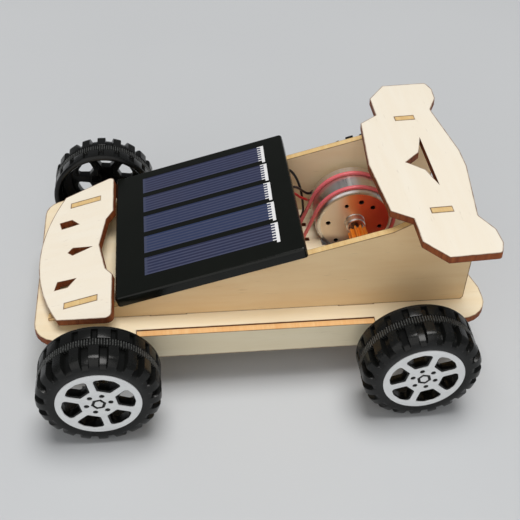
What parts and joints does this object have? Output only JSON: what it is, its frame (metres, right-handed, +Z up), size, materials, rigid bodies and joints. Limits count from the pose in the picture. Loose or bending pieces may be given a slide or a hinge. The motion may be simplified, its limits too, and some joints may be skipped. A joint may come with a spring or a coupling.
{
  "type": "solar powered toy car kit",
  "caption": "Laser-cut plywood toy car driven by a small solar panel, with a banded-in motor, a pinion and axle gear, and treaded wheels on steel axles.",
  "frame": {"origin": "on the ground under the middle of the car", "axes": "+X to the tail, along the length; +Y to the far side, the side the motor sits towards; +Z up"},
  "size_m": [0.1304, 0.1023, 0.0547],
  "materials": {
    "plywood_top": "satin, fine straight grain, dark laser-cut edges",
    "plywood_side": "satin, fine straight grain, smoke-tinted faces",
    "panel_black": "glossy epoxy",
    "panel_blue": "glossy, silicon under clear epoxy",
    "panel_silver": "satin",
    "solder": "satin",
    "axle_steel": "polished",
    "tyre_black": "semi-gloss",
    "wheel_silver": "satin",
    "gear_orange": "satin",
    "motor_steel": "satin",
    "end_cap_white": "matte",
    "magnet_ferrite": "matte",
    "armature_copper": "enamelled winding",
    "terminal_brass": "satin",
    "band_rubber": "satin",
    "lead_black": "satin",
    "lead_red": "satin"
  },
  "bodies": {
    "chassis": {"base_plate": "plywood_top", "rail_near": "plywood_side", "rail_far": "plywood_side", "side_wall_near": "plywood_side", "side_wall_far": "plywood_side", "hood_plate": "plywood_top", "spoiler_plate": "plywood_top", "panel_board": "panel_black", "panel_cells": "panel_blue", "panel_busbars": "panel_silver", "panel_pads": "solder", "motor_can": "motor_steel", "motor_end_cap": "end_cap_white", "motor_magnet": "magnet_ferrite", "motor_terminals": "terminal_brass", "band_near": "band_rubber", "band_far": "band_rubber", "lead_black": "lead_black", "lead_red": "lead_red"},
    "front_wheelset": {"front_axle": "axle_steel", "tyre_front_near": "tyre_black", "tyre_front_far": "tyre_black", "wheel_front_near": "wheel_silver", "wheel_front_far": "wheel_silver"},
    "rear_wheelset": {"rear_axle": "axle_steel", "tyre_rear_near": "tyre_black", "tyre_rear_far": "tyre_black", "wheel_rear_near": "wheel_silver", "wheel_rear_far": "wheel_silver", "axle_gear": "gear_orange"},
    "motor_rotor": {"motor_shaft": "axle_steel", "motor_armature": "armature_copper", "pinion_gear": "gear_orange"}
  },
  "joints": [
    {"name": "front_axle_spin", "type": "hinge", "parent": "chassis", "child": "front_wheelset", "pos_m": [-0.047, 0, 0.0167], "axis": [0, 1, 0], "continuous": true},
    {"name": "rear_axle_spin", "type": "hinge", "parent": "chassis", "child": "rear_wheelset", "pos_m": [0.0415, 0, 0.0167], "axis": [0, 1, 0], "continuous": true},
    {"name": "motor_spin", "type": "hinge", "parent": "chassis", "child": "motor_rotor", "pos_m": [0.03133, 0, 0.0278], "axis": [0, 1, 0], "continuous": true}
  ],
  "couplings": [
    {"joint": "motor_spin", "follows": "rear_axle_spin", "ratio": -5}
  ]
}
